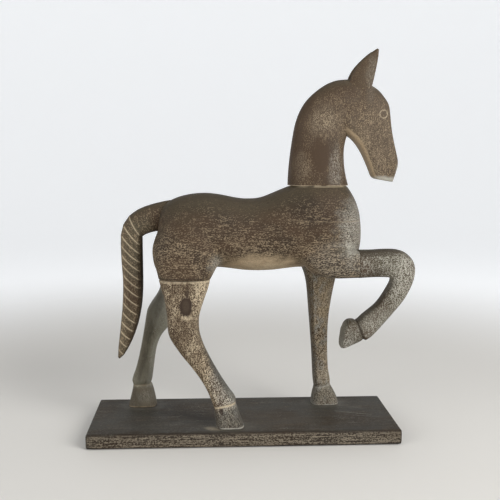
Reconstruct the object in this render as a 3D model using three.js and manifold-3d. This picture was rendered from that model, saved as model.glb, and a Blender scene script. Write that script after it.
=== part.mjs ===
import * as THREE from 'three';
import { mergeVertices } from 'three/addons/utils/BufferGeometryUtils.js';
import Module from 'manifold-3d';

const wasm = await Module();
wasm.setup();

// Driving sizes, in millimetres
const horseHeight = 397;
const boardThickness = 16;
const rearMargin = 35;
const frontMargin = 52;
const sideMargin = 8;
const boardWear = 1.2;
const glueGap = 0.3;
const tailGrooves = 15;
const tailGrooveDepth = 0.9;
const tailGrooveWidth = 2.2;
const tailGrooveBow = 0.08;
const tailPlainTip = 8.985;
const eyeRadius = 4.2;
const eyeGrooveWidth = 2;

// How finely the round forms are faceted
const stepsPerRow = 2;
const trunkSides = 22;
const neckSides = 16;
const limbSides = 14;
const earSides = 8;
const eyeRingSides = 14;
const eyeGrooveSides = 5;
const boardEdgeSteps = 2;
const weldReach = 1e-4;

const boardRoughness = 0.8;
const horseRoughness = 0.75;

// The horse is drawn at this height, in millimetres from the board's middle and above its top face,
// and keeps its proportions at any other
const drawnHeight = 397;
const hoofRear = -130;
const hoofFront = 113;
const hoofSide = 52;
const hindSeam = 156.7;
const standingSeam = 164;
const raisedSeam = 120;
const hoofClear = 135;
const neckSeam = 253.3;

const scale = horseHeight / drawnHeight;
const boardLength = rearMargin + (hoofFront - hoofRear) * scale + frontMargin;
const boardDepth = 2 * (hoofSide * scale + sideMargin);
const horseShift = rearMargin - boardLength / 2 - hoofRear * scale;

// Every row of a form is one slice: one edge's x and height, the other edge's x and height,
// the slice's middle and half width across the horse, and how square its corners are
const trunkRows = [
  [-89.5, 220, -93, 194, 0, 16, 2.4],
  [-87, 230.5, -88, 182, 0, 27, 2.4],
  [-76, 239.2, -77, 171, 0, 36, 2.4],
  [-58, 244.6, -58, 166.5, 0, 41.5, 2.4],
  [-40, 246, -40, 166, 0, 42.5, 2.4],
  [-21, 243.6, -21, 165, 0, 41, 2.4],
  [-1, 239.7, -1, 162.2, 0, 39.5, 2.4],
  [14, 240, 14, 161.4, 0, 39, 2.4],
  [30, 245.4, 30, 161.8, 0, 39.5, 2.4],
  [47, 252.4, 47, 164, 0, 40.5, 2.5],
  [70, 260, 70, 166, 0, 41.5, 2.6],
  [92, 262, 92, 166, 0, 40, 2.6],
  [108, 256.5, 108, 168, 0, 35.5, 2.5],
  [117, 245, 118, 172, 0, 28, 2.4],
  [123, 233, 123.5, 177, 0, 20, 2.3],
  [126, 220.5, 126.6, 187, 0, 11, 2.2],
  [127, 212, 127.6, 198, 0, 4, 2],
];
const nearHindRows = [
  [-72, 236, -46, 234, -15, 8, 2.4],
  [-81.5, 226.6, -36, 224, -18.5, 18, 2.4],
  [-88.6, 211, -27, 209, -21, 23, 2.4],
  [-96, 195, -24, 194, -23, 23.5, 2.4],
  [-96.9, 184, -24.5, 180, -24.5, 22.5, 2.5],
  [-93.6, 167.5, -28.6, 168.5, -26, 21, 2.6],
  [-89.8, 155, -35.3, 156, -27, 19.5, 2.8],
  [-85.9, 141, -39.8, 141, -28.2, 17.2, 3],
  [-83.3, 128, -44.2, 128.5, -29.3, 15.6, 3],
  [-81.5, 113.5, -47.7, 114.5, -30.5, 14, 3],
  [-80.9, 100, -47.4, 103.5, -31.5, 13.2, 3],
  [-76, 89.5, -45.2, 94, -32.2, 12.6, 3],
  [-65.9, 75.4, -40.6, 82.5, -33.2, 11.8, 3],
  [-53.8, 60.4, -32.2, 66, -34.4, 11.2, 3],
  [-46, 49.6, -24.4, 52.6, -35.3, 11, 3],
  [-39, 36.6, -14.4, 37.6, -36.2, 11.6, 3],
  [-34.4, 24.5, -9, 29.5, -37, 12.8, 3],
  [-33.3, 21.4, -9.4, 26.6, -37.1, 11.6, 3],
  [-32.7, 18.4, -8.7, 23.8, -37.2, 12.6, 3],
  [-31.6, 8.5, -3.7, 9.5, -37.7, 13.5, 3],
  [-30.4, 0, 0, 0, -38, 14, 3],
];
const farHindRows = [
  [-72, 236, -46, 234, 15, 8, 2.4],
  [-81.5, 226.6, -36, 224, 18.5, 18, 2.4],
  [-88.6, 211, -27, 209, 21, 23, 2.4],
  [-96, 195, -24, 194, 23, 23.5, 2.4],
  [-96.9, 184, -24.5, 180, 24.5, 22.5, 2.5],
  [-93.6, 167.5, -30.6, 168.5, 26, 21, 2.6],
  [-90.6, 155, -39.5, 156, 27, 19.5, 2.8],
  [-91, 143, -47.5, 142, 28, 17.2, 3],
  [-95.8, 130.5, -56, 129, 29.2, 15.6, 3],
  [-104.4, 118.2, -66.5, 114, 30.4, 14, 3],
  [-107.8, 109, -73.5, 103.5, 31.2, 13.2, 3],
  [-109.6, 98, -82.5, 93, 32.2, 12.4, 3],
  [-111.8, 85, -90.5, 84, 33, 11.6, 3],
  [-114.6, 69.5, -96.6, 69.5, 34, 11, 3],
  [-117.8, 55, -99, 55, 34.9, 10.8, 3],
  [-121.5, 41.6, -100.9, 41, 35.7, 10.9, 3],
  [-125.3, 30.2, -102.5, 30, 36.4, 12.6, 3],
  [-124, 25.6, -103.5, 26.5, 36.6, 11.2, 3],
  [-124.6, 21.5, -101.8, 22.5, 36.9, 12.4, 3],
  [-127, 11, -98.9, 10.5, 37.5, 13.3, 3],
  [hoofRear, 0, -96.9, 0, 38, 14, 3],
];
const standingRows = [
  [68, 210, 112, 210, 20, 14, 2.4],
  [61, 189, 114, 189, 24, 17, 2.5],
  [62, 176, 112, 176, 25.5, 17, 2.6],
  [65.4, 164, 109.2, 164, 26.5, 16.2, 2.8],
  [69.4, 154.5, 107, 153.5, 27.2, 15.2, 3],
  [72.4, 141.5, 104.4, 141, 28.2, 14.2, 3],
  [74.4, 123.5, 101.3, 123, 29.2, 13.2, 3],
  [76.2, 105, 99, 104.5, 30.4, 12.2, 3],
  [78, 87, 98.2, 86, 31.6, 11.4, 3],
  [79.9, 65, 98.5, 65, 33, 10.8, 3],
  [81.5, 42, 99.9, 41, 34.5, 10.8, 3],
  [82.5, 28, 102.5, 29.2, 35.3, 12.2, 3],
  [83.8, 20, 102.4, 24, 35.7, 11, 3],
  [82.9, 16.3, 104.4, 19.6, 35.9, 12.2, 3],
  [81.2, 8.5, 110.2, 9.5, 36.5, 13.3, 3],
  [80.4, 0, hoofFront, 0, 37, 14, 3],
];
const raisedRows = [
  [61.6, 182.5, 61.6, 174.5, -27, 8, 2.2],
  [64.6, 187, 64.6, 168.4, -27.5, 13, 2.4],
  [71, 189.5, 71, 161.6, -28, 15.2, 2.6],
  [82, 191, 82, 158.2, -28.5, 16, 2.8],
  [97, 191, 97, 156, -28.5, 16, 3],
  [119, 186.8, 119, 156.8, -28.5, 15.2, 3],
  [135, 187.1, 134, 157.2, -28.5, 14.4, 3],
  [147, 188, 146, 157.4, -28.5, 13.8, 3],
  [157.6, 187.9, 151.8, 157.2, -28.5, 13.3, 3],
  [167.2, 186, 154, 156.8, -28.5, 13, 3],
  [174, 181.6, 154.8, 156.2, -28.6, 12.9, 3],
  [179.2, 175, 155, 155.2, -28.7, 12.8, 3],
  [181.5, 166.6, 154.8, 153.6, -28.8, 12.7, 3],
  [180.4, 156.9, 154, 151, -28.9, 12.4, 3],
  [176.2, 145.4, 151.2, 146, -29, 12, 3],
  [168.7, 132, 145.9, 137, -29.2, 11.4, 3],
  [159, 120.2, 138.2, 127.4, -29.4, 11, 3],
  [148.6, 107.6, 130.8, 122, -29.6, 11.2, 3],
  [138, 96.4, 123.8, 116, -29.8, 12.2, 3],
  [129.4, 90.2, 120.2, 112.4, -30, 12.8, 3],
  [126.5, 90.8, 118.4, 112, -30, 11.4, 3],
  [123.6, 88.8, 115.6, 113, -30, 12.6, 3],
  [113.6, 84.3, 111, 112.8, -30, 13.6, 3],
  [105.6, 81.2, 107.2, 109.2, -30, 13.9, 3],
  [102.4, 81.9, 105.4, 105, -30, 13, 3],
];
const neckRows = [
  [46.9, 246, 114.5, 246, 0, 29, 2.4],
  [47.2, 261.5, 111.6, 260, 0, 25, 2.4],
  [48.4, 278.7, 109, 274, 0, 22.5, 2.4],
  [50.7, 297.1, 108.2, 289, 0, 20.8, 2.4],
  [54.4, 319, 110.6, 304, 0, 19.2, 2.4],
  [63.6, 340.4, 116, 318, 0, 18, 2.4],
  [80.4, 356.6, 123, 329, 0, 17, 2.4],
  [97.2, 365, 130, 336, 0, 15.6, 2.4],
  [112, 366.2, 137, 340, 0, 13.6, 2.4],
  [127, 364.6, 143, 345, 0, 10.5, 2.4],
];
const headRows = [
  [131, 362, 106, 356, 0, 11, 3],
  [142.2, 356.4, 100, 340, 0, 14.5, 3.4],
  [150.4, 347.4, 98, 326, 0, 16.6, 3.8],
  [155.4, 338.4, 102, 315, 0, 17.6, 4.2],
  [156.3, 330, 109.6, 308.4, 0, 17.8, 4.4],
  [157, 322.4, 119, 300, 0, 17, 4.6],
  [158.8, 311, 126.6, 289.2, 0, 15.6, 4.6],
  [161.8, 298, 130.8, 280.6, 0, 14.2, 4.6],
  [164.8, 286.4, 134.6, 272, 0, 13, 4.6],
  [166.6, 276.6, 137, 265.6, 0, 12.2, 4.6],
  [163.6, 265, 138.6, 262.6, 0, 11.4, 4.4],
  [161.2, 257.4, 141, 260.8, 0, 10.4, 4.2],
];
const earRows = [
  [109, 354, 133.5, 350, -8, 5.6, 1.7],
  [110.4, 364.5, 136.6, 359, -9.6, 5.8, 1.6],
  [116, 376.2, 139.4, 372.6, -11.2, 5.2, 1.5],
  [125.2, 386.2, 140.8, 383.4, -12.4, 4, 1.5],
  [133.8, 393.6, 141.4, 392, -13.2, 2.4, 1.6],
  [138.9, 397, 141.1, 396, -13.6, 0.9, 2],
];
const tailRootRows = [
  [-68, 240, -70, 210, 0, 12, 2.4],
  [-91.1, 235.8, -91.5, 204.8, 0, 12, 2.4],
  [-104, 231.9, -101.5, 201.9, 0, 12, 2.5],
  [-114, 227.7, -106.5, 199.6, 0, 12, 2.6],
];
const tailSwitchRows = [
  [-121.6, 222, -108.2, 198.2, 0, 12, 2.8],
  [-127.4, 214.8, -108.1, 190.5, 0, 12, 2.8],
  [-130.8, 206, -108, 182.5, 0, 12, 2.8],
  [-132, 195.5, -107.9, 173.5, 0, 12, 2.8],
  [-131.5, 175, -107.8, 154.5, 0, 11.8, 2.8],
  [-130.2, 149, -108.8, 131.5, 0, 11.2, 2.8],
  [-131, 125, -112.3, 109.5, 0, 10.2, 2.8],
  [-133, 105, -117.6, 92.5, 0, 8.8, 2.8],
  [-135, 87.5, -124.5, 77.6, 0, 6.8, 2.8],
  [-136.4, 74, -131, 67.6, 0, 4, 2.6],
  [-136.7, 66, -135, 64.2, 0, 1.6, 2.2],
];
const eyeX = 146.9;
const eyeSide = 17.4;
const eyeHeight = 329;

const place = (x, y, h) => new THREE.Vector3(
  x * scale + horseShift,
  y * scale,
  h * scale + boardThickness + glueGap,
);

// Slope at each knot of a curve, flat where the curve turns, so that it never overshoots
function knotSlopes(t, v) {
  const last = v.length - 1;
  const chord = (i) => (v[i + 1] - v[i]) / (t[i + 1] - t[i]);
  return v.map((value, i) => {
    if (i === 0) return chord(0);
    if (i === last) return chord(last - 1);
    const before = chord(i - 1);
    const after = chord(i);
    if (before * after <= 0) return 0;
    const w0 = 2 * (t[i + 1] - t[i]) + t[i] - t[i - 1];
    const w1 = t[i + 1] - t[i] + 2 * (t[i] - t[i - 1]);
    return (w0 + w1) / (w0 / before + w1 / after);
  });
}

// A smooth way through the rows: gives the slice at any share of the form's length
function flowThrough(rows) {
  const t = [0];
  for (let i = 1; i < rows.length; i++) {
    const [ax, ah, bx, bh] = rows[i].map((v, k) => v - rows[i - 1][k]);
    t.push(t[i - 1] + (Math.hypot(ax, ah) + Math.hypot(bx, bh)) / 2);
  }
  const columns = rows[0].map((v, k) => rows.map((row) => row[k]));
  const slopes = columns.map((column) => knotSlopes(t, column));
  const at = (share) => {
    const s = share * t[t.length - 1];
    let i = 0;
    while (i < t.length - 2 && s > t[i + 1]) i++;
    const step = t[i + 1] - t[i];
    const u = (s - t[i]) / step;
    const rise = u * u * (3 - 2 * u);
    return columns.map((v, k) => v[i] + (v[i + 1] - v[i]) * rise
      + slopes[k][i] * step * u * (1 - u) * (1 - u)
      - slopes[k][i + 1] * step * u * u * (1 - u));
  };
  return { at, length: t[t.length - 1], knots: t.map((value) => value / t[t.length - 1]) };
}

// Slices at every row and at even steps between rows
function slicesBetween(rows, steps) {
  const flow = flowThrough(rows);
  const slices = [];
  for (let i = 0; i < rows.length - 1; i++) {
    for (let k = 0; k < steps; k++) {
      slices.push(flow.at(flow.knots[i] + (flow.knots[i + 1] - flow.knots[i]) * k / steps));
    }
  }
  slices.push(rows[rows.length - 1]);
  return slices;
}

const roundPower = (value, power) => Math.sign(value) * Math.abs(value) ** power;

// Skins the slices into one closed body, flat at both ends
function skin(slices, sides) {
  const points = [];
  const middle = ([ax, ah, bx, bh, y]) => place((ax + bx) / 2, y, (ah + bh) / 2);
  for (const slice of slices) {
    const [ax, ah, bx, bh, y, half, square, bow = 0] = slice;
    for (let k = 0; k < sides; k++) {
      const angle = 2 * Math.PI * (k + 0.5) / sides;
      const u = roundPower(Math.cos(angle), 2 / square);
      const v = roundPower(Math.sin(angle), 2 / square);
      const x = (ax + bx) / 2 + u * (ax - bx) / 2;
      const h = (ah + bh) / 2 + u * (ah - bh) / 2 - bow * (1 - u * u);
      points.push(place(x, y + v * half, h));
    }
  }
  points.push(middle(slices[0]), middle(slices[slices.length - 1]));
  const index = [];
  const first = points.length - 2;
  const end = points.length - 1;
  const lastRing = (slices.length - 1) * sides;
  for (let k = 0; k < sides; k++) {
    const next = (k + 1) % sides;
    for (let ring = 0; ring < lastRing; ring += sides) {
      index.push(ring + k, ring + next, ring + sides + next);
      index.push(ring + k, ring + sides + next, ring + sides + k);
    }
    index.push(first, next, k);
    index.push(end, lastRing + k, lastRing + next);
  }
  const geometry = new THREE.BufferGeometry().setFromPoints(points);
  geometry.setIndex(index);
  return solidOf(geometry);
}

const loft = (rows, sides) => skin(slicesBetween(rows, stepsPerRow), sides);

// Six times the volume that a geometry encloses, below zero where it is inside out
function signedVolume(position, index) {
  const [a, b, c] = [new THREE.Vector3(), new THREE.Vector3(), new THREE.Vector3()];
  let volume = 0;
  for (let i = 0; i < index.length; i += 3) {
    a.fromBufferAttribute(position, index[i]);
    b.fromBufferAttribute(position, index[i + 1]);
    c.fromBufferAttribute(position, index[i + 2]);
    volume += a.dot(b.cross(c));
  }
  return volume;
}

function solidOf(geometry) {
  geometry.deleteAttribute('normal');
  geometry.deleteAttribute('uv');
  const merged = mergeVertices(geometry, weldReach);
  const index = Array.from(merged.index.array);
  if (signedVolume(merged.attributes.position, index) < 0) index.reverse();
  const mesh = new wasm.Mesh({
    numProp: 3,
    vertProperties: new Float32Array(merged.attributes.position.array),
    triVerts: new Uint32Array(index),
  });
  mesh.merge();
  return new wasm.Manifold(mesh);
}

// A block from one corner to another, for sawing a form along a seam
function block(low, high) {
  const size = new THREE.Vector3().subVectors(high, low);
  const geometry = new THREE.BoxGeometry(size.x, size.y, size.z);
  geometry.translate(low.x + size.x / 2, low.y + size.y / 2, low.z + size.z / 2);
  return solidOf(geometry);
}

const reach = 2 * horseHeight;
const heightOf = (h) => place(0, 0, h).z;
const lengthOf = (x) => place(x, 0, 0).x;
const spaceAbove = (z) => block(
  new THREE.Vector3(-reach, -reach, z),
  new THREE.Vector3(reach, reach, 2 * reach),
);

function sawLevel(form, h) {
  return {
    upper: form.intersect(spaceAbove(heightOf(h))),
    lower: form.subtract(spaceAbove(heightOf(h) - glueGap)),
  };
}

// Parts the raised leg from its shoulder along an upright seam that stays above the folded hoof
function sawShoulder(form, x, h) {
  const behind = (end) => block(
    new THREE.Vector3(-reach, -reach, heightOf(h)),
    new THREE.Vector3(end, reach, reach),
  );
  return {
    shoulder: form.intersect(behind(lengthOf(x))),
    leg: form.subtract(behind(lengthOf(x) + glueGap)),
  };
}

// Cuts a piece to lie against a neighbour, clear of it by the glue gap along the way given
function copeTo(form, neighbour, way) {
  const moved = neighbour.translate(way.map((v) => v * glueGap));
  return form.subtract(neighbour.add(moved));
}

function board() {
  const shape = new THREE.Shape();
  const x = boardLength / 2 - boardWear;
  const y = boardDepth / 2 - boardWear;
  shape.moveTo(-x, -y).lineTo(x, -y).lineTo(x, y).lineTo(-x, y).closePath();
  const geometry = new THREE.ExtrudeGeometry(shape, {
    depth: boardThickness - 2 * boardWear,
    bevelThickness: boardWear,
    bevelSize: boardWear,
    bevelSegments: boardEdgeSteps,
  });
  geometry.translate(0, 0, boardWear);
  return solidOf(geometry);
}

function eyeRing(side) {
  const ring = new THREE.TorusGeometry(
    eyeRadius * scale,
    eyeGrooveWidth * scale / 2,
    eyeGrooveSides,
    eyeRingSides,
  );
  ring.rotateX(Math.PI / 2);
  const spot = place(eyeX, side * eyeSide, eyeHeight);
  ring.translate(spot.x, spot.y, spot.z);
  return solidOf(ring);
}

const mirrored = (rows) => rows.map(([ax, ah, bx, bh, y, ...rest]) => [ax, ah, bx, bh, -y, ...rest]);

function neckAndHead() {
  const neck = loft(neckRows, neckSides).intersect(spaceAbove(heightOf(neckSeam) + glueGap));
  const head = loft(headRows, neckSides);
  const ears = [earRows, mirrored(earRows)].map((rows) => loft(rows, earSides));
  const whole = neck.add(head).add(ears[0]).add(ears[1]);
  return whole.subtract(eyeRing(-1)).subtract(eyeRing(1));
}

// The hanging switch of the tail, with slanting grooves sawn into both its sides
function tailSlices() {
  const flow = flowThrough(tailSwitchRows);
  const grooved = 1 - tailPlainTip / flow.length;
  const halfWidth = tailGrooveWidth / flow.length / 2;
  const slices = [];
  for (let k = 0; k < tailGrooves; k++) {
    const share = halfWidth + (grooved - halfWidth) * k / (tailGrooves - 1);
    const floor = flow.at(share);
    floor[5] = Math.max(floor[5] - tailGrooveDepth, floor[5] / 2);
    slices.push(flow.at(share - halfWidth), floor, flow.at(share + halfWidth));
  }
  slices.push(flow.at(1));
  return slices.map((slice) => {
    const [ax, ah, bx, bh] = slice;
    return [...slice, tailGrooveBow * Math.hypot(ax - bx, ah - bh)];
  });
}

function tail() {
  const root = slicesBetween(tailRootRows, stepsPerRow);
  return skin([...root, ...tailSlices()], limbSides);
}

const nearHind = sawLevel(loft(nearHindRows, limbSides), hindSeam);
const farHind = sawLevel(loft(farHindRows, limbSides), hindSeam);
const standing = sawLevel(loft(standingRows, limbSides), standingSeam);
const raised = sawShoulder(loft(raisedRows, limbSides), raisedSeam, hoofClear);
const body = loft(trunkRows, trunkSides)
  .subtract(spaceAbove(heightOf(neckSeam)))
  .add(nearHind.upper)
  .add(farHind.upper)
  .add(standing.upper)
  .add(raised.shoulder);

const horse = new THREE.Group();

function addPiece(name, solid, colour, roughness) {
  const { numProp, vertProperties, triVerts } = solid.getMesh();
  const geometry = new THREE.BufferGeometry();
  const points = [];
  for (let i = 0; i < vertProperties.length; i += numProp) {
    points.push(vertProperties[i], vertProperties[i + 1], vertProperties[i + 2]);
  }
  geometry.setAttribute('position', new THREE.Float32BufferAttribute(points, 3));
  geometry.setIndex(Array.from(triVerts));
  geometry.computeVertexNormals();
  const material = new THREE.MeshStandardMaterial({ color: colour, roughness, metalness: 0 });
  const mesh = new THREE.Mesh(geometry, material);
  mesh.name = name;
  horse.add(mesh);
}

addPiece('base_board', board(), 0x4a4943, boardRoughness);
addPiece('torso', body, 0x5b5047, horseRoughness);
addPiece('neck_and_head', neckAndHead(), 0x60564b, horseRoughness);
addPiece('tail', copeTo(tail(), body, [-1, 0, 0]), 0x5d5243, horseRoughness);
addPiece('right_hind_leg', nearHind.lower, 0x71685a, horseRoughness);
addPiece('left_hind_leg', farHind.lower, 0x55524a, horseRoughness);
addPiece('right_foreleg_raised', copeTo(raised.leg, body, [0, -1, 0]), 0x635c51, horseRoughness);
addPiece('left_foreleg_standing', standing.lower, 0x625a4e, horseRoughness);

export default horse;
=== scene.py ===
import math

import bmesh
import bpy
import numpy as np
from mathutils import Matrix, Vector
from mathutils.kdtree import KDTree


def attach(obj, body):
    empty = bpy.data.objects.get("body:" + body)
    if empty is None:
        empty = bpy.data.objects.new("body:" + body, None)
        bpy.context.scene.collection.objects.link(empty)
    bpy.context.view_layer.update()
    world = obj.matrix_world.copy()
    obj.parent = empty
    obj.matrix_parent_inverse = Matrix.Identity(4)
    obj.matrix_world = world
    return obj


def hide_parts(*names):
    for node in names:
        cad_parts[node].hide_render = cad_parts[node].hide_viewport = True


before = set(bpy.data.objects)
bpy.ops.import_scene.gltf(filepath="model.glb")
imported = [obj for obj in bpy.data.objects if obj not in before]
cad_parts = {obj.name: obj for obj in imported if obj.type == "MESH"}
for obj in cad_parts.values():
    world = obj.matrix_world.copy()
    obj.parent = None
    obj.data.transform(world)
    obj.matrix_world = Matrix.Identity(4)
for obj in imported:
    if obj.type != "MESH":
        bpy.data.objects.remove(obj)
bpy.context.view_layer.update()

# Camera, at the photograph's angle

mm = 0.001

cameraSetup = {
    "place": (-39.6, -842.7, 303.6),   # mm, from the middle of the board's underside
    "turn": 3.191,                     # degrees towards the horse's nose
    "dip": 7.022,                      # degrees below level
    "roll": 0.190,                     # degrees
    "focalPixels": 783.0,
    "framePixels": 500.0,
    "sensor": 36.0,
    "nearClip": 0.01,                  # metres
}


def makeCamera(setup):
    turn, dip, roll = (math.radians(setup[k]) for k in ("turn", "dip", "roll"))
    right = Vector((math.cos(turn), -math.sin(turn), 0))
    ahead = Vector((math.sin(turn), math.cos(turn), 0))
    up = Vector((0, 0, 1))
    look = ahead * math.cos(dip) - up * math.sin(dip)
    over = up * math.cos(dip) + ahead * math.sin(dip)
    side = right * math.cos(roll) + over * math.sin(roll)
    top = over * math.cos(roll) - right * math.sin(roll)
    data = bpy.data.cameras.new("camera")
    data.sensor_width = setup["sensor"]
    data.lens = setup["focalPixels"] / setup["framePixels"] * setup["sensor"]
    data.clip_start = setup["nearClip"]
    cam = bpy.data.objects.new("camera", data)
    bpy.context.collection.objects.link(cam)
    turned = Matrix((side, top, -look)).transposed().to_4x4()
    cam.matrix_world = Matrix.Translation(Vector(setup["place"]) * mm) @ turned
    bpy.context.scene.camera = cam


makeCamera(cameraSetup)
print("camera set")


# Shader maths: a wrapped socket takes + - * and number / socket, and the fitting nodes appear


class Wire:
    def __init__(self, tree, socket):
        self.tree = tree
        self.socket = socket

    def math(self, operation, *others, clamp=False):
        return node(self.tree, "ShaderNodeMath", {"operation": operation, "use_clamp": clamp},
                    {0: self, **{i + 1: v for i, v in enumerate(others)}})

    def __add__(self, other):
        return self.math("ADD", other)

    def __radd__(self, other):
        return self.math("ADD", other)

    def __sub__(self, other):
        return self.math("SUBTRACT", other)

    def __rsub__(self, other):
        return node(self.tree, "ShaderNodeMath", {"operation": "SUBTRACT"}, {0: other, 1: self})

    def __mul__(self, other):
        return self.math("MULTIPLY", other)

    def __rtruediv__(self, other):
        return node(self.tree, "ShaderNodeMath", {"operation": "DIVIDE"}, {0: other, 1: self})

    def clamp(self):
        return self.math("ADD", 0.0, clamp=True)

    def abs(self):
        return self.math("ABSOLUTE")

    def ramp(self, low, high):
        return node(self.tree, "ShaderNodeMapRange", {"interpolation_type": "SMOOTHSTEP"},
                    {"Value": self, "From Min": low, "From Max": high})


def node(tree, kind, settings=None, inputs=None, output=0):
    made = tree.nodes.new(kind)
    for name, value in (settings or {}).items():
        setattr(made, name, value)
    for name, value in (inputs or {}).items():
        socket = made.inputs[name]
        if isinstance(value, Wire):
            tree.links.new(value.socket, socket)
        else:
            socket.default_value = value
    return Wire(tree, made.outputs[output])


def vectorMath(tree, operation, a, b=None, scale=None, output=0):
    inputs = {0: a}
    if b is not None:
        inputs[1] = b
    if scale is not None:
        inputs["Scale"] = scale
    return node(tree, "ShaderNodeVectorMath", {"operation": operation}, inputs, output)


def mixColour(tree, a, b, factor):
    mix = tree.nodes.new("ShaderNodeMix")
    mix.data_type = "RGBA"
    for index, value in ((6, a), (7, b), (0, factor)):   # the colour sockets and the factor
        if isinstance(value, Wire):
            tree.links.new(value.socket, mix.inputs[index])
        else:
            mix.inputs[index].default_value = (*value, 1)
    return Wire(tree, mix.outputs[2])


# Stage and light: a pale floor that sweeps up into a white backdrop all round, and three soft lights

stageSetup = {
    "drop": 0.0004,           # keeps the floor just under the board
    "flatTo": 1.9,            # from here the floor sweeps up all round
    "rise": 1.7,
    "riseSteps": 16,
    "sides": 64,
    "floorColour": (0.68, 0.66, 0.62),
    "wallColour": (0.86, 0.87, 0.88),
    "roughness": 0.7,
    "paleFrom": 0.4,          # the floor turns to wall colour between these
    "paleTo": 1.2,
    "wallGlow": 0.35,
    "lights": {               # place, size and power
        "window": ((1.15, -1.25, 1.0), 1.2, 31.0),
        "fill": ((-1.5, -1.0, 0.6), 1.6, 15.0),
        "overhead": ((0.1, 0.2, 1.9), 1.4, 5.0),
    },
    "lightTarget": (0.0, 0.0, 0.2),
    "skyColour": (0.93, 0.94, 0.96),
    "skyStrength": 0.32,
}


def sweepMaterial(setup):
    material = bpy.data.materials.new("pale_sweep")
    material.use_nodes = True
    tree = material.node_tree
    shader = tree.nodes["Principled BSDF"]
    shader.inputs["Roughness"].default_value = setup["roughness"]
    shader.inputs["Emission Strength"].default_value = setup["wallGlow"]
    place = node(tree, "ShaderNodeTexCoord", output="Object")
    away = vectorMath(tree, "LENGTH", place, output="Value")
    share = away.ramp(setup["paleFrom"], setup["paleTo"])
    tint = mixColour(tree, setup["floorColour"], setup["wallColour"], share)
    shine = mixColour(tree, (0, 0, 0), setup["wallColour"], share)
    tree.links.new(tint.socket, shader.inputs["Base Color"])
    tree.links.new(shine.socket, shader.inputs["Emission Color"])
    return material


def makeStage(setup):
    rise, steps, sides = setup["rise"], setup["riseSteps"], setup["sides"]
    bends = [k / steps * math.pi / 2 for k in range(steps + 1)]
    profile = [(setup["flatTo"] + rise * math.sin(b), rise * (1 - math.cos(b))) for b in bends]
    turns = [k / sides * 2 * math.pi for k in range(sides)]
    points = [(r * math.cos(t), r * math.sin(t), z - setup["drop"]) for r, z in profile for t in turns]
    faces = [tuple(range(sides))]
    faces += [(ring + k, ring + sides + k, ring + sides + (k + 1) % sides, ring + (k + 1) % sides)
              for ring in range(0, steps * sides, sides) for k in range(sides)]
    mesh = bpy.data.meshes.new("sweep")
    mesh.from_pydata(points, [], faces)
    mesh.shade_smooth()
    mesh.materials.append(sweepMaterial(setup))
    sweep = bpy.data.objects.new("sweep", mesh)
    bpy.context.collection.objects.link(sweep)
    for name, (place, size, power) in setup["lights"].items():
        data = bpy.data.lights.new(name, "AREA")
        data.shape = "DISK"
        data.size = size
        data.energy = power
        lamp = bpy.data.objects.new(name, data)
        lamp.location = place
        aim = Vector(setup["lightTarget"]) - Vector(place)
        lamp.rotation_euler = aim.to_track_quat("-Z", "Y").to_euler()
        bpy.context.collection.objects.link(lamp)
    world = bpy.data.worlds.new("sky")
    world.use_nodes = True
    sky = world.node_tree.nodes["Background"]
    sky.inputs["Color"].default_value = (*setup["skyColour"], 1)
    sky.inputs["Strength"].default_value = setup["skyStrength"]
    bpy.context.scene.world = world
    bpy.context.scene.view_settings.view_transform = "Standard"


makeStage(stageSetup)
print("stage and lights set")


# Stained wood with pale wash left in its grain. Lengths and places are in millimetres.

stain = {
    "dark": (0.021, 0.013, 0.007),
    "brown": (0.046, 0.027, 0.014),
    "olive": (0.054, 0.043, 0.026),
    "sage": (0.165, 0.155, 0.112),
    "umber": (0.085, 0.062, 0.038),
    "drab": (0.150, 0.124, 0.092),
    "charcoal": (0.034, 0.032, 0.027),
    "wash": (0.300, 0.228, 0.145),
    "silver": (0.330, 0.315, 0.265),
    "cream": (0.500, 0.410, 0.280),
    "tan": (0.350, 0.262, 0.160),
    "chalk": (0.560, 0.535, 0.460),
    "knot": (0.026, 0.015, 0.010),
}

# How stain and wash lie on every piece. The four noises are named by what they draw.

woodSetup = {
    "gloss": 0.2,
    "broad": {"size": 30.0, "stretch": 1.8, "detail": 2.0, "rough": 0.5, "seed": 1.0},
    "medium": {"size": 7.0, "stretch": 1.8, "detail": 2.0, "rough": 0.55, "seed": 2.0},
    "row": {"size": 1.25, "detail": 2.0, "rough": 0.6, "seed": 3.0},
    "fleck": {"detail": 1.2, "rough": 0.6, "seed": 4.0},
    "upward": (0.1, 0.85),           # a face counts as a top between these
    "baseMix": (0.38, 0.64),         # broad noise, from the first base stain to the second
    "darkRows": (0.48, 0.7),
    "unevenMedium": 0.65,
    "unevenBroad": 0.55,
    "spreadSoft": 0.6,
    "fleckLimit": 0.585,             # less wash at a higher limit
    "fleckGain": 0.13,
    "fleckEdge": (-0.04, 0.05),
    "thinWash": 0.25,
    "washGain": 0.95,
    "washMix": (0.42, 0.6),          # medium noise, from the first wash to the second
    "raggedMedium": 1.1,
    "raggedSpeckle": 1.2,
    "raggedGain": 2.4,
    "speckleEdge": (0.43, 0.57),
    "lineSoft": 0.1,
    "lineCore": 0.35,                # share of a line's width at full strength
    "lineGaps": (0.3, 0.55),
    "cutSoft": 0.15,
    "ringCore": 0.3,
    "ringGaps": (0.3, 0.56),
    "roughness": 0.56,
    "washRoughness": 0.22,
    "rowRoughness": 0.12,
    "fleckRelief": 0.5,
    "rowRelief": 0.5,
    "washRelief": 0.2,
    "bumpStrength": 0.5,
    "bumpDepth": 0.3,
}


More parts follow.
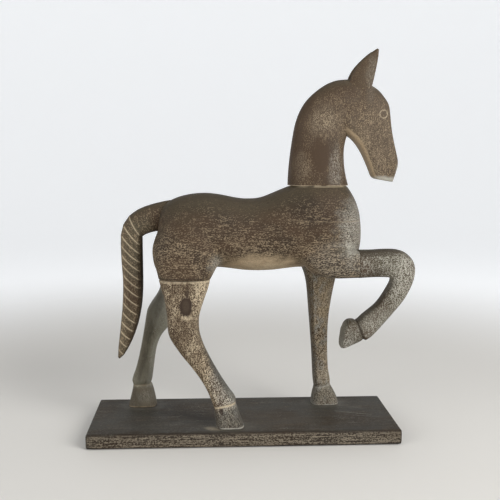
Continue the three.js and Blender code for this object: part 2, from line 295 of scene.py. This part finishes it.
class WoodTree:
    def __init__(self, name, grain, seed):
        self.material = bpy.data.materials.new(name)
        self.material.use_nodes = True
        self.tree = self.material.node_tree
        self.shader = self.tree.nodes["Principled BSDF"]
        self.shader.inputs["Specular IOR Level"].default_value = woodSetup["gloss"]
        self.grain = grain
        self.seed = seed
        self.place = self.vector("SCALE", self.add("ShaderNodeTexCoord", output="Object"), scale=1 / mm)
        self.height = self.add("ShaderNodeSeparateXYZ", inputs={0: self.place}, output=2)
        self.facing = self.add("ShaderNodeAttribute", {"attribute_name": "facing"}, output="Vector")
        self.cut = self.add("ShaderNodeAttribute", {"attribute_name": "cut"}, output="Fac")

    def add(self, kind, settings=None, inputs=None, output=0):
        return node(self.tree, kind, settings, inputs, output)

    def vector(self, operation, a, b=None, scale=None, output=0):
        return vectorMath(self.tree, operation, a, b, scale, output)

    def noise(self, size, stretch, detail, rough, seed):
        along = {axis: 1 / (size * stretch) if axis == self.grain else 1 / size for axis in "XYZ"}
        fitted = self.vector("MULTIPLY", self.place, (along["X"], along["Y"], along["Z"]))
        return self.add("ShaderNodeTexNoise", {"noise_dimensions": "4D"}, {
            "Vector": fitted, "W": self.seed + seed, "Scale": 1.0, "Detail": detail, "Roughness": rough})

    def colour(self, a, b, factor):
        return mixColour(self.tree, a, b, factor)

    def spot(self, centre, radii, soft, ragged=0.0):
        away = self.vector("SUBTRACT", self.place, centre)
        reach = self.vector("LENGTH", self.vector("DIVIDE", away, radii), output="Value")
        return 1 - (reach + ragged).ramp(1 - soft, 1 + soft)

    def turned(self, direction, low, high):
        return self.vector("DOT_PRODUCT", self.facing, direction, output="Value").ramp(low, high)

    def line(self, point, normal, width):
        away = self.vector("SUBTRACT", self.place, point)
        across = self.vector("DOT_PRODUCT", away, normal, output="Value").abs()
        return 1 - across.ramp(width * woodSetup["lineCore"], width)

    def ring(self, centre, radius, width):
        away = self.vector("MULTIPLY", self.vector("SUBTRACT", self.place, centre), (1, 0, 1))
        across = (self.vector("LENGTH", away, output="Value") - radius).abs()
        return 1 - across.ramp(width * woodSetup["ringCore"], width)

    def finish(self, colour, roughness, height):
        link = self.tree.links.new
        bumped = self.add("ShaderNodeBump", None, {
            "Height": height, "Strength": woodSetup["bumpStrength"], "Distance": woodSetup["bumpDepth"] * mm})
        link(colour.socket, self.shader.inputs["Base Color"])
        link(roughness.socket, self.shader.inputs["Roughness"])
        link(bumped.socket, self.shader.inputs["Normal"])
        return self.material


def washedWood(name, setup):
    k = woodSetup
    w = WoodTree(name, setup["grain"], setup["seed"])
    broad = w.noise(**k["broad"])
    medium = w.noise(**k["medium"])
    row = w.noise(stretch=setup["rowLength"], **k["row"])
    fleck = w.noise(size=setup["fleckSize"], stretch=setup["fleckLength"], **k["fleck"])
    up = w.turned((0, 0, 1), *k["upward"])
    body = w.colour(stain[setup["base"][0]], stain[setup["base"][1]], broad.ramp(*k["baseMix"]))
    body = w.colour(body, stain["olive"], (up * setup["topOlive"]).clamp())
    body = w.colour(body, stain["dark"], row.ramp(*k["darkRows"]) * setup["rowDark"])
    uneven = (medium - 0.5) * k["unevenMedium"] + (broad - 0.5) * k["unevenBroad"]
    level = setup["cover"] + uneven - up * setup["topBare"]
    for low, high, gain in setup["rises"]:
        level = level + w.height.ramp(low, high) * gain
    for centre, radii, gain in setup["spread"]:
        level = level + w.spot(centre, radii, k["spreadSoft"]) * gain
    level = level.clamp()
    share = setup["rowShare"]
    speckle = fleck * (1 - share) + row * share
    flecks = (speckle - (k["fleckLimit"] - level * k["fleckGain"])).ramp(*k["fleckEdge"])
    opacity = (k["thinWash"] + level * k["washGain"]).clamp() * setup["washStrength"]
    second = setup.get("wash2", setup["wash"])
    pale = w.colour(stain[setup["wash"]], stain[second], medium.ramp(*k["washMix"]))
    colour = w.colour(body, pale, flecks * opacity)
    ragged = (medium - 0.5) * k["raggedMedium"] + (speckle - 0.5) * k["raggedSpeckle"]
    for name, centre, radii, soft, strength, speckled, facing in setup["patches"]:
        amount = w.spot(centre, radii, soft, ragged * (soft * k["raggedGain"])) * strength
        if facing:
            amount = amount * w.turned(*facing)
        grainy = speckle.ramp(*k["speckleEdge"]) * speckled + (1 - speckled)
        colour = w.colour(colour, stain[name], (amount * grainy).clamp())
    for name, point, normal, width, strength, centre, radii in setup["lines"]:
        amount = w.line(point, normal, width) * w.spot(centre, radii, k["lineSoft"])
        colour = w.colour(colour, stain[name], amount * medium.ramp(*k["lineGaps"]) * strength)
    for name, centre, radii, strength, facing in setup["cuts"]:
        amount = w.cut * w.spot(centre, radii, k["cutSoft"]) * strength
        if facing:
            amount = amount * w.turned(*facing)
        colour = w.colour(colour, stain[name], amount)
    for name, centre, radius, width, strength in setup["rings"]:
        amount = w.ring(centre, radius, width) * speckle.ramp(*k["ringGaps"]) * strength
        colour = w.colour(colour, stain[name], amount)
    roughness = k["roughness"] + flecks * k["washRoughness"] + row * k["rowRoughness"]
    relief = fleck * k["fleckRelief"] + row * k["rowRelief"] - flecks * k["washRelief"]
    return w.finish(colour, roughness, relief)


# Carved forms: the solid's own mesh, rounded off, remeshed finely and given a hand-worked skin

skinSetup = {
    "rounding": 2,            # subdivision steps
    "smoothing": 0.5,
    "meldFrom": 0.6,          # a meld fades out from this share of its radii
    "grainDetail": 2.0,
    "toolSoftness": 0.35,
    "facingPasses": 6,        # how far the way a face looks is averaged
    "grainStretch": 3.0,
}


def skinTree(setup):
    tree = bpy.data.node_groups.new("hand_worked_skin", "GeometryNodeTree")
    face = tree.interface
    sockets = {
        "Geometry": "Geometry", "Grain Stretch": "Vector", "Grain Size": "Float", "Grain Depth": "Float",
        "Tool Size": "Float", "Tool Depth": "Float", "Seed": "Float", "Meld Centre": "Vector",
        "Meld Radii": "Vector", "Meld Passes": "Int", "Finish": "Material"}
    for name, kind in sockets.items():
        face.new_socket(name, in_out="INPUT", socket_type="NodeSocket" + kind)
    face.new_socket("Geometry", in_out="OUTPUT", socket_type="NodeSocketGeometry")
    outputs = tree.nodes.new("NodeGroupInput").outputs
    start = {name: Wire(tree, outputs[name]) for name in sockets}
    place = node(tree, "GeometryNodeInputPosition")
    normal = node(tree, "GeometryNodeInputNormal")

    def vector(operation, a, b=None, scale=None, output=0):
        return vectorMath(tree, operation, a, b, scale, output)

    def blur(kind, value, passes, weight=1.0):
        return node(tree, "GeometryNodeBlurAttribute", {"data_type": kind},
                    {"Value": value, "Iterations": passes, "Weight": weight})

    away = vector("DIVIDE", vector("SUBTRACT", place, start["Meld Centre"]), start["Meld Radii"])
    near = 1 - vector("LENGTH", away, output="Value").ramp(setup["meldFrom"], 1.0)
    melded = node(tree, "GeometryNodeSetPosition", None, {
        "Geometry": start["Geometry"], "Position": blur("FLOAT_VECTOR", place, start["Meld Passes"], near)})
    along = vector("DIVIDE", place, start["Grain Stretch"])
    grain = node(tree, "ShaderNodeTexNoise", {"noise_dimensions": "4D"}, {
        "Vector": vector("SCALE", along, scale=1 / start["Grain Size"]), "W": start["Seed"], "Scale": 1.0,
        "Detail": setup["grainDetail"]})
    tool = node(tree, "ShaderNodeTexVoronoi", {"feature": "SMOOTH_F1"}, {
        "Vector": vector("SCALE", along, scale=1 / start["Tool Size"]), "Scale": 1.0,
        "Smoothness": setup["toolSoftness"]})
    lift = (grain - 0.5) * start["Grain Depth"] + (tool - 0.5) * start["Tool Depth"]
    moved = node(tree, "GeometryNodeSetPosition", None,
                 {"Geometry": melded, "Offset": vector("SCALE", normal, scale=lift)})
    averaged = blur("FLOAT_VECTOR", normal, setup["facingPasses"])
    marked = node(tree, "GeometryNodeStoreNamedAttribute", {"data_type": "FLOAT_VECTOR", "domain": "POINT"},
                  {"Geometry": moved, "Name": "facing", "Value": averaged})
    whole = node(tree, "GeometryNodeRealizeInstances", None, {"Geometry": marked})
    done = node(tree, "GeometryNodeSetMaterial", None, {"Geometry": whole, "Material": start["Finish"]})
    tree.links.new(done.socket, tree.nodes.new("NodeGroupOutput").inputs["Geometry"])
    return tree


skin = skinTree(skinSetup)


def setInputs(modifier, values):
    names = {item.name: item.identifier for item in modifier.node_group.interface.items_tree
             if item.in_out == "INPUT"}
    for name, value in values.items():
        modifier[names[name]] = value


firmness = {
    "weld": 0.004,            # mm
    "cutAngle": 24,           # degrees, from where a hollow edge counts as a cut
    "cutStep": 0.3,           # mm between the spots that mark a cut
    "joinFace": 0.45,         # radians, how bent a pair of joined triangles may be
    "joinShape": 0.9,         # radians, how far from square
}


def firmEdges(mesh, angle):
    shape = bmesh.new()
    shape.from_mesh(mesh)
    bmesh.ops.remove_doubles(shape, verts=shape.verts, dist=firmness["weld"] * mm)
    hollow = math.radians(firmness["cutAngle"])
    cuts = [(e.verts[0].co.copy(), e.verts[1].co.copy()) for e in shape.edges
            if e.is_manifold and not e.is_convex and e.calc_face_angle() > hollow]
    bmesh.ops.join_triangles(shape, faces=shape.faces, angle_face_threshold=firmness["joinFace"],
                             angle_shape_threshold=firmness["joinShape"])
    crease = shape.edges.layers.float.new("crease_edge")
    for edge in shape.edges:
        if edge.is_manifold and edge.calc_face_angle() > math.radians(angle):
            edge[crease] = 1.0
    shape.to_mesh(mesh)
    shape.free()
    return cuts


def readColumns(mesh, name):
    values = np.empty(len(mesh.vertices) * 3)
    mesh.vertices.foreach_get(name, values)
    return values.reshape(-1, 3)


def nearCuts(points, cuts, width):
    step = firmness["cutStep"] * mm
    spots = [a.lerp(b, k / n) for a, b in cuts
             for n in [max(1, round((b - a).length / step))] for k in range(n + 1)]
    tree = KDTree(len(spots))
    for index, spot in enumerate(spots):
        tree.insert(spot, index)
    tree.balance()
    away = np.array([tree.find(p)[2] for p in points]) / mm
    return np.exp(-(away / width) ** 2)


def within(points, centre, radii):
    away = np.linalg.norm((points / mm - np.array(centre)) / np.array(radii), axis=1)
    return np.clip(1 - away ** 2, 0, 1)


def press(mesh, cuts, setup):
    points = readColumns(mesh, "co")
    normals = readColumns(mesh, "normal")
    cutting = cuts and setup["cutWidth"]
    shares = nearCuts(points, cuts, setup["cutWidth"]) if cutting else np.zeros(len(points))
    store = mesh.attributes.new("cut", "FLOAT", "POINT")
    store.data.foreach_set("value", shares)
    sink = shares * setup["cutDepth"]
    for centre, radii, depth in setup["dents"]:
        sink = sink + depth * within(points, centre, radii) ** 2
    points -= normals * (sink * mm)[:, None]
    for centre, radii, shift in setup["pushes"]:
        points += within(points, centre, radii)[:, None] * np.array(shift) * mm
    mesh.vertices.foreach_set("co", points.ravel())
    mesh.update()


# What a piece's own dictionary leaves out

usual = {
    "crease": 32.0,                      # degrees, from where an edge stays crisp
    "meld": ((0, 0, 0), (1, 1, 1), 0),   # centre, radii and passes of a blend
    "grainSize": 1.6,
    "grainDepth": 0.2,
    "toolSize": 16.0,
    "toolDepth": 0.3,
    "cutWidth": 0.0,
    "cutDepth": 0.0,
    "dents": (),
    "pushes": (),
    "rowLength": 8.0,
    "rowShare": 0.32,
    "rowDark": 0.55,
    "fleckSize": 0.95,
    "fleckLength": 1.5,
    "topOlive": 0.8,
    "topBare": 0.5,
    "washStrength": 0.85,
    "rises": (),
    "spread": (),
    "patches": (),
    "lines": (),
    "cuts": (),
    "rings": (),
}


def carve(nodeName, slot, ownSetup):
    setup = {**usual, **ownSetup}
    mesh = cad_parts[nodeName].data.copy()
    mesh.materials.clear()
    cuts = firmEdges(mesh, setup["crease"])
    piece = bpy.data.objects.new(nodeName + "_carved", mesh)
    bpy.context.collection.objects.link(piece)
    rounded = piece.modifiers.new("rounded", "SUBSURF")
    rounded.levels = rounded.render_levels = skinSetup["rounding"]
    fine = piece.modifiers.new("fine", "REMESH")
    fine.mode = "VOXEL"
    fine.voxel_size = setup["voxel"] * mm
    smooth = piece.modifiers.new("smooth", "SMOOTH")
    smooth.factor = skinSetup["smoothing"]
    smooth.iterations = setup["soften"]
    worked = piece.modifiers.new("worked", "NODES")
    worked.node_group = skin
    meldCentre, meldRadii, meldPasses = setup["meld"]
    stretch = skinSetup["grainStretch"]
    setInputs(worked, {
        "Grain Stretch": (stretch, 1.0, 1.0) if setup["grain"] == "X" else (1.0, 1.0, stretch),
        "Grain Size": setup["grainSize"] * mm,
        "Grain Depth": setup["grainDepth"] * mm,
        "Tool Size": setup["toolSize"] * mm,
        "Tool Depth": setup["toolDepth"] * mm,
        "Seed": setup["seed"],
        "Meld Centre": [v * mm for v in meldCentre],
        "Meld Radii": [v * mm for v in meldRadii],
        "Meld Passes": meldPasses,
        "Finish": washedWood(slot, setup),
    })
    bpy.context.view_layer.update()
    final = bpy.data.meshes.new_from_object(piece.evaluated_get(bpy.context.evaluated_depsgraph_get()))
    final.name = piece.name
    piece.modifiers.clear()
    piece.data = final
    press(final, cuts, setup)
    final.shade_smooth()
    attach(piece, "root")
    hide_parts(nodeName)
    print(f"{piece.name}: {sum(len(p.vertices) - 2 for p in final.polygons)} triangles")


# Patches are (stain, centre, radii, softness, strength, how speckled, the way it faces with its limits).
# Lines are (stain, point, normal, width, strength, centre and radii of their reach).
# Cuts are (stain, centre and radii of their reach, strength, the way they face).
# Rings are (stain, centre, radius, width, strength). Spread and rises add or take wash by place and height.
# Dents sink and pushes shift the form: (centre, radii, millimetres).

everywhere = ((0, 0, 200), (400, 400, 400))

# Torso: lengthwise grain, smooth and olive on the back, paler low down, tan and cream under the belly painted
# as bounce light from below

torsoSetup = {
    "grain": "X", "seed": 1.0, "voxel": 1.0, "soften": 3,
    "meld": ((84, -36, 200), (36, 30, 24), 70),
    "base": ("brown", "dark"), "wash": "wash",
    "fleckSize": 0.8, "fleckLength": 2.3, "rowLength": 12.0, "rowShare": 0.36, "rowDark": 0.65,
    "cover": 0.46, "topBare": 0.24, "rises": ((196, 246, -0.22),),
    "patches": [
        # Tan and cream on the faces turned down under the belly are painted bounce light from below
        ("tan", (17, 0, 178), (50, 80, 20), 0.3, 0.9, 0.35, ((0, 0, -1), 0.16, 0.34)),
        ("cream", (24, 0, 176), (30, 80, 16), 0.5, 0.5, 0.6, ((0, 0, -1), 0.2, 0.4)),
        ("silver", (-31, -22, 188), (8, 30, 11), 0.45, 0.6, 0.8, None),
        ("silver", (120, -10, 222), (24, 70, 38), 0.45, 0.5, 0.9, None),
        ("silver", (112, -25, 206), (6, 40, 5), 0.45, 0.6, 0.5, None),
        ("silver", (98, -40, 190), (30, 40, 22), 0.45, 0.18, 0.9, None),
        ("chalk", (116, -14, 222), (14, 60, 30), 0.5, 0.22, 1.0, None),
    ],
    "lines": [
        ("cream", (0, 0, 269.4), (0, 0, 1), 0.8, 0.7, *everywhere),
        ("wash", (0, 0, 236.5), (0.03, 0, 1), 0.7, 0.3, (95, 0, 236), (50, 100, 20)),
        ("dark", (0, 0, 174.8), (0, 0, 1), 1.4, 0.75, (-60, 0, 174), (50, 100, 10)),
    ],
}
carve("torso", "torso_wood", torsoSetup)

# Neck and head: fine speckle, a bare brown patch on the neck and a ring round each eye

headSetup = {
    "grain": "Z", "seed": 2.0, "voxel": 0.74, "soften": 1,
    "base": ("brown", "brown"), "wash": "wash",
    "fleckSize": 0.85, "fleckLength": 1.4, "rowLength": 4.0,
    "cover": 0.31,
    "spread": [((124, 0, 394), (20, 90, 34), -0.15), ((142, 0, 318), (30, 90, 46), 0.22),
               ((86, 0, 335), (24, 90, 20), 0.12), ((68, 0, 300), (36, 90, 48), -0.12)],
    "patches": [
        ("drab", (142, 0, 318), (30, 90, 50), 0.6, 0.24, 0.0, None),
        ("drab", (84, 0, 338), (30, 90, 26), 0.6, 0.14, 0.0, None),
        ("cream", (84, 0, 338), (15, 90, 13), 0.5, 0.2, 1.0, None),
        ("cream", (60, 0, 290), (9, 90, 16), 0.5, 0.25, 0.95, None),
        ("chalk", (97, 0, 288), (8, 90, 24), 0.45, 0.24, 1.0, None),
        ("dark", (92, 0, 312), (6, 90, 10), 0.5, 0.35, 0.3, None),
        ("brown", (80, 0, 301), (10, 90, 20), 0.3, 0.85, 0.0, None),
        ("brown", (50, 0, 320), (60, 90, 60), 0.4, 0.62, 0.2, ((-1, 0, 0.3), 0.1, 0.7)),
        ("tan", (118, 0, 298), (34, 90, 36), 0.3, 0.75, 0.25, ((-0.6, 0, -0.8), 0.36, 0.48)),
        ("silver", (149, 0, 274), (17, 90, 6), 0.3, 0.9, 0.3, None),
        ("silver", (169, 0, 283), (6, 90, 12), 0.3, 0.85, 0.4, None),
        ("umber", (124, 0, 394), (14, 90, 28), 0.4, 0.4, 0.3, None),
        ("silver", (134, 0, 384), (6, 90, 20), 0.5, 0.2, 0.9, None),
    ],
    "lines": [
        ("cream", (0, 0, 269.9), (0, 0, 1), 1.0, 0.7, *everywhere),
    ],
    "rings": [("cream", (146.9, 0, 345.3), 4.1, 0.9, 0.45)],
}
carve("neck_and_head", "head_wood", headSetup)

# Tail: brown with slanting grooves cut to pale wood

tailSetup = {
    "grain": "Z", "seed": 3.0, "voxel": 0.52, "soften": 1, "crease": 28.0,
    "base": ("brown", "olive"), "wash": "wash",
    "cover": 0.3,
    "cutWidth": 0.7, "cutDepth": 0.45,
    "pushes": [((-86, 0, 234), (22, 24, 30), (1.6, 0, 0))],
    "patches": [
        ("dark", (-110, 0, 150), (60, 90, 110), 0.4, 0.6, 0.0, ((1, 0, 0), 0.2, 0.8)),
        ("tan", (-132, 0, 180), (8, 90, 110), 0.4, 0.2, 0.6, ((-1, -0.3, 0), 0.3, 0.8)),
    ],
    "cuts": [
        ("cream", (-125, 0, 150), (40, 90, 90), 0.8, ((-1, -0.35, 0), -0.45, 0.1)),
    ],
}
carve("tail", "tail_wood", tailSetup)

# Near hind leg: cream upright grain in front, one dark knot, silver grey lower down

rightHindSetup = {
    "grain": "Z", "seed": 4.0, "voxel": 0.68, "soften": 1, "crease": 26.0,
    "base": ("brown", "brown"), "wash": "wash", "wash2": "cream", "washStrength": 0.92,
    "fleckSize": 0.85, "fleckLength": 1.5, "rowLength": 5.0, "cover": 0.46,
    "cutWidth": 1.1, "cutDepth": 0.4,
    "dents": [((-25, -50, 35), (2.6, 8, 5), 1.6)],
    "patches": [
        ("cream", (-37, -40, 154), (17, 60, 34), 0.45, 0.9, 1.0, None),
        ("cream", (-74, -40, 140), (16, 60, 30), 0.5, 0.2, 1.2, None),
        ("dark", (-60, -40, 122), (26, 60, 14), 0.6, 0.18, 0.8, None),
        ("brown", (-62, -40, 104), (16, 60, 22), 0.5, 0.3, 0.6, None),
        ("charcoal", (-24, -45, 66), (15, 60, 44), 0.5, 0.5, 0.4, ((0.7, -0.5, 0.3), 0.35, 0.75)),
        ("chalk", (-23, -45, 60), (17, 60, 38), 0.45, 0.38, 1.15, ((0.5, -0.8, 0.2), 0.2, 0.7)),
        ("cream", (-50, -40, 84), (15, 60, 36), 0.5, 0.34, 1.1, None),
        ("charcoal", (-16, -30, 74), (30, 60, 48), 0.3, 0.6, 0.4, ((0.9, -0.3, 0.3), 0.66, 0.84)),
        ("silver", (-14, -45, 40), (8, 60, 14), 0.5, 0.5, 0.9, None),
        ("charcoal", (-14, -40, 25), (26, 60, 13), 0.3, 0.7, 0.1, None),
        ("silver", (-14, -40, 25), (26, 60, 14), 0.4, 0.2, 1.0, None),
        ("cream", (-60.5, -45, 134.5), (5.5, 14, 2.6), 0.3, 0.7, 0.5, None),
        ("knot", (-61.4, -45, 145.6), (6.5, 14, 10.4), 0.14, 0.95, 0.0, None),
        ("umber", (-61.2, -45, 146.6), (3.6, 14, 6.6), 0.4, 0.4, 0.4, None),
        ("knot", (-60, -45, 160), (2.2, 14, 4), 0.3, 0.75, 0.2, None),
        ("knot", (-25, -50, 35), (2, 10, 3.6), 0.3, 0.75, 0.0, None),
    ],
    "lines": [
        ("cream", (0, 0, 171.6), (0, 0, 1), 2.4, 0.4, *everywhere),
        ("chalk", (0, 0, 17), (0, 0, 1), 1.3, 0.5, *everywhere),
    ],
    "cuts": [
        ("cream", (-21, -40, 40), (22, 60, 8), 0.7, None),
    ],
}
carve("right_hind_leg", "right_hind_wood", rightHindSetup)

# Far hind leg: green grey, with little wash, painted light on the thigh and on the facets turned to the
# window light, painted shade in the valleys between its facets

leftHindSetup = {
    "grain": "Z", "seed": 5.0, "voxel": 0.7, "soften": 1, "crease": 26.0,
    "base": ("sage", "sage"), "wash": "silver", "topOlive": 0.0,
    "fleckLength": 2.0, "rowDark": 0.4,
    "cover": 0.2,
    "cutWidth": 1.1, "cutDepth": 0.4,
    "patches": [
        # A flat silver patch on the thigh is painted light, lifting the shadow the torso casts there
        ("silver", (-74, 20, 148), (34, 60, 34), 0.6, 0.56, 0.3, None),
        # Silver on the facets turned to the right and front is painted light from the window lamp
        ("silver", (-90, 30, 100), (60, 90, 110), 0.4, 0.45, 0.3, ((0.8, -0.5, 0.1), 0.5, 0.85)),
        ("olive", (-104, 20, 128), (60, 90, 110), 0.4, 0.34, 0.2, ((-0.8, -0.3, 0), 0.35, 0.8)),
        ("umber", (-106, 20, 84), (12, 60, 44), 0.5, 0.45, 0.4, ((-0.6, -0.6, 0), 0.2, 0.8)),
        ("dark", (-111, 20, 58), (8, 60, 26), 0.5, 0.45, 0.5, None),
        ("umber", (-113, 38, 27), (30, 60, 14), 0.2, 0.85, 0.3, None),
        ("charcoal", (-122, 38, 26), (10, 60, 12), 0.5, 0.4, 0.3, None),
        ("silver", (-109, 38, 30), (9, 60, 9), 0.5, 0.35, 1.0, None),
    ],
    "lines": [
        # The first two lines, dark down the leg, are painted shade in the valleys between its facets
        ("dark", (-92, 18, 136), (0.94, 0, -0.34), 5.0, 0.3, (-97, 20, 124), (30, 60, 34)),
        ("dark", (-106, 22, 88), (0.96, 0, -0.28), 3.5, 0.35, (-108, 22, 76), (20, 60, 32)),
        ("wash", (0, 0, 17), (0, 0, 1), 1.3, 0.5, *everywhere),
    ],
    "cuts": [
        ("wash", (-113, 36, 42), (22, 60, 8), 0.35, None),
    ],
}
carve("left_hind_leg", "left_hind_wood", leftHindSetup)

# Raised foreleg: silver grey wash on its worn outer side, a darker flat sole

raisedSetup = {
    "grain": "Z", "seed": 6.0, "voxel": 0.66, "soften": 1, "crease": 26.0,
    "base": ("brown", "olive"), "wash": "silver",
    "fleckSize": 0.85, "fleckLength": 1.2, "rowLength": 4.0, "cover": 0.5, "topBare": 0.2,
    "cutWidth": 1.1, "cutDepth": 0.5,
    "pushes": [((121, -28, 188), (9, 24, 24), (-0.7, 0, 0))],
    "patches": [
        ("dark", (138, -28, 205), (36, 60, 14), 0.4, 0.5, 0.3, ((0, 0, 1), 0.1, 0.7)),
        ("chalk", (172, -40, 168), (17, 60, 34), 0.45, 0.4, 1.0, None),
        ("silver", (148, -40, 124), (22, 60, 15), 0.5, 0.36, 0.7, None),
        ("dark", (138, -40, 180), (9, 60, 5), 0.5, 0.5, 0.4, None),
        ("charcoal", (112, -44, 98), (12, 60, 16), 0.5, 0.4, 0.2, None),
        ("chalk", (110, -44, 96), (10, 30, 14), 0.5, 0.5, 1.0, None),
        ("dark", (150, -20, 140), (40, 60, 34), 0.4, 0.45, 0.3, ((-0.8, 0, 0.5), 0.45, 0.8)),
        ("sage", (103, -30, 110), (10, 60, 22), 0.3, 0.35, 0.3, ((-1, 0, 0), 0.6, 0.85)),
    ],
    "cuts": [
        ("dark", (122, -30, 117), (14, 60, 18), 0.8, None),
    ],
}
carve("right_foreleg_raised", "raised_leg_wood", raisedSetup)

# Standing foreleg: paler in front, darker behind

standingSetup = {
    "grain": "Z", "seed": 7.0, "voxel": 0.68, "soften": 1, "crease": 26.0,
    "base": ("umber", "brown"), "wash": "cream", "wash2": "silver",
    "fleckSize": 0.85, "fleckLength": 1.8, "rowLength": 7.0, "cover": 0.70, "washStrength": 0.64,
    "cutWidth": 1.1, "cutDepth": 0.4,
    "patches": [
        ("tan", (97, 20, 150), (12, 60, 30), 0.5, 0.35, 0.8, None),
        ("dark", (90, 30, 110), (60, 60, 90), 0.4, 0.55, 0.0, ((-1, -0.1, 0), 0.3, 0.7)),
        ("charcoal", (93, 36, 26), (30, 60, 15), 0.2, 0.5, 0.3, None),
        ("silver", (93, 36, 30), (30, 60, 30), 0.45, 0.3, 0.9, None),
    ],
    "lines": [
        ("silver", (0, 0, 17), (0, 0, 1), 1.3, 0.5, *everywhere),
    ],
    "cuts": [
        ("silver", (93, 36, 38), (20, 60, 8), 0.5, None),
    ],
}
carve("left_foreleg_standing", "standing_leg_wood", standingSetup)

# Board: planed, charcoal, with a paler speckled rim and smudges round the hoofs

boardSetup = {
    "grain": "X", "seed": 9.0, "voxel": 1.25, "soften": 1,
    "toolDepth": 0.08, "grainDepth": 0.16,
    "base": ("charcoal", "dark"), "wash": "wash", "wash2": "silver",
    "fleckSize": 0.9, "fleckLength": 1.8, "rowLength": 26.0, "rowShare": 0.5, "rowDark": 0.75,
    "topOlive": 0.15, "topBare": 0.0, "cover": 0.12, "washStrength": 0.6,
    "patches": [
        ("silver", (0, 0, 16), (220, 90, 4), 0.3, 0.08, 1.0, None),
        ("dark", (0, -60, 8), (200, 12, 14), 0.3, 0.75, 0.0, ((0, -1, 0), 0.4, 0.8)),
        ("wash", (0, -60, 7), (200, 12, 12), 0.3, 0.36, 1.35, ((0, -1, 0), 0.5, 0.9)),
        ("silver", (0, -60, 7), (200, 12, 12), 0.3, 0.2, 1.3, ((0, -1, 0), 0.5, 0.9)),
        ("dark", (0, -60, 16), (200, 6, 2.4), 0.4, 0.6, 0.0, None),
        ("umber", (20, -20, 16), (60, 30, 3), 0.6, 0.4, 0.5, None),
        ("silver", (-16, -38, 16), (22, 18, 3), 0.5, 0.2, 0.4, None),
        ("cream", (-33, -45, 16), (8, 6, 3), 0.5, 0.4, 0.6, None),
        ("silver", (96, 37, 16), (22, 18, 3), 0.5, 0.25, 0.4, None),
        ("silver", (-113, 38, 16), (22, 18, 3), 0.5, 0.25, 0.4, None),
    ],
    "lines": [
        ("silver", (118, 0, 16), (0.35, 0.94, 0), 0.6, 0.4, (125, 5, 16), (22, 30, 4)),
        ("silver", (132, -12, 16), (0.22, 0.97, 0), 0.5, 0.35, (132, -10, 16), (20, 20, 4)),
        ("silver", (120, 22, 16), (0.5, 0.86, 0), 0.5, 0.3, (118, 20, 16), (20, 20, 4)),
    ],
}
carve("base_board", "board_wood", boardSetup)
